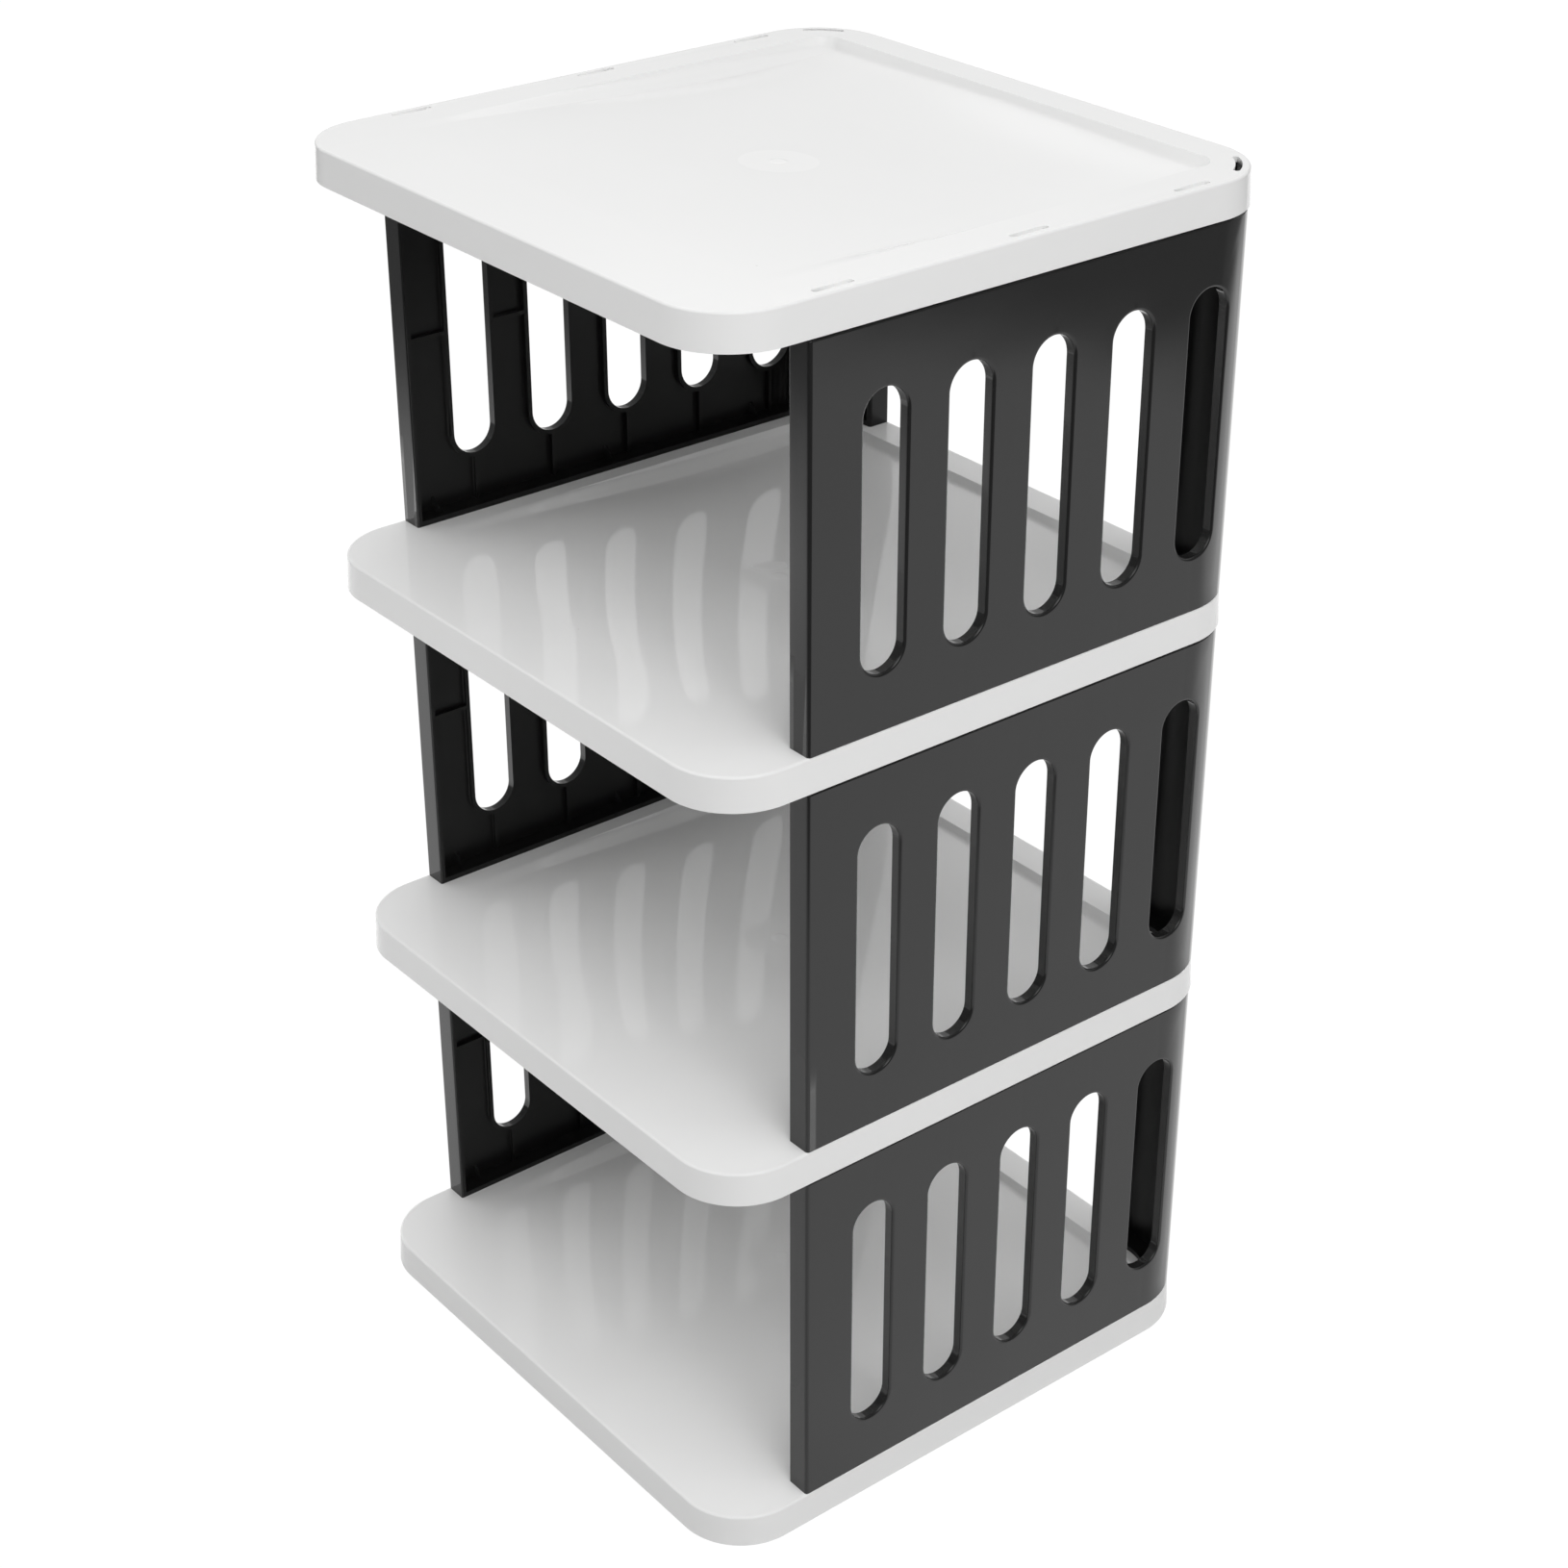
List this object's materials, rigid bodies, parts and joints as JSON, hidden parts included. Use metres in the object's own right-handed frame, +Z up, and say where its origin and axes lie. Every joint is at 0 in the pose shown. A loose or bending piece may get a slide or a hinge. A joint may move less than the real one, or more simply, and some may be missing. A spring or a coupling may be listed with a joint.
{
  "type": "shoe rack",
  "caption": "Free-standing stacking shoe rack: square moulded trays on slotted side panels that wrap round the rear corners, open at the front.",
  "frame": {"origin": "centre of the footprint, on the floor", "axes": "-Y faces the open front, +X is to the right for someone who stands before the front and looks in, and +Z is up"},
  "size_m": [0.3016, 0.3016, 0.595],
  "materials": {
    "tray_plastic": "semi-gloss moulded polypropylene, off-white",
    "panel_plastic": "gloss moulded polypropylene, charcoal black"
  },
  "bodies": {
    "root": {"bottom_tray": "tray_plastic", "lower_tray": "tray_plastic", "upper_tray": "tray_plastic", "top_tray": "tray_plastic", "lower_left_panel": "panel_plastic", "lower_right_panel": "panel_plastic", "middle_left_panel": "panel_plastic", "middle_right_panel": "panel_plastic", "upper_left_panel": "panel_plastic", "upper_right_panel": "panel_plastic"}
  },
  "joints": []
}
